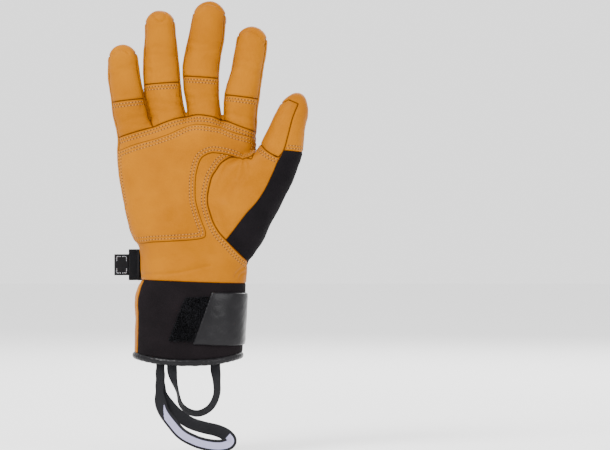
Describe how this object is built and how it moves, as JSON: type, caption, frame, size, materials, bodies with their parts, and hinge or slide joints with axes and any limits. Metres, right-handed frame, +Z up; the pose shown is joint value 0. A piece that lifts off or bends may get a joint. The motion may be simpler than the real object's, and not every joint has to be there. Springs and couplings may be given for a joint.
{
  "type": "climbing glove",
  "caption": "Right-hand leather climbing glove with a palm patch, stretch thumb panel, strapped wrist, short cuff, clip hole, hang loop and wrist leash.",
  "frame": {"origin": "centre of the cuff's mouth, level with the lowest point of the leather's rim", "axes": "+Z up the hand to the fingertips, +X towards the thumb, -Y out of the palm, +Y out of the back of the hand"},
  "size_m": [0.161, 0.0899, 0.355],
  "materials": {
    "leather": "smooth amber goatskin, lightly creased",
    "stretch_cloth": "matt black stretch cloth",
    "cuff_cloth": "matt black soft-shell cloth",
    "gloss_trim": "coated black synthetic leather, semi-gloss",
    "hook_fuzz": "black loop pile",
    "webbing": "woven black nylon tape",
    "ring_steel": "polished steel wire"
  },
  "bodies": {
    "root": {"palm_panel": "leather", "palm_patch": "leather", "back_panel": "leather", "index_tip": "leather", "middle_tip": "leather", "ring_tip": "leather", "pinky_tip": "leather", "index_front": "leather", "middle_front": "leather", "ring_front": "leather", "pinky_front": "leather", "index_back": "leather", "middle_back": "leather", "ring_back": "leather", "pinky_back": "leather", "pinky_side": "leather", "pinky_ring_strip": "leather", "ring_middle_strip": "leather", "middle_index_strip": "leather", "index_side": "leather", "thumb_tip": "leather", "thumb_pad": "leather", "thumb_front": "leather", "cuff_back": "leather", "strap_anchor": "webbing", "thumb_stretch": "stretch_cloth", "middle_wipe": "stretch_cloth", "cuff_front": "cuff_cloth", "cuff_binding": "gloss_trim", "closing_tab": "gloss_trim", "hook_patch": "hook_fuzz", "wrist_strap": "webbing", "strap_pull": "webbing", "hang_loop": "webbing", "leash_loop": "webbing", "strap_ring": "ring_steel"}
  },
  "joints": []
}
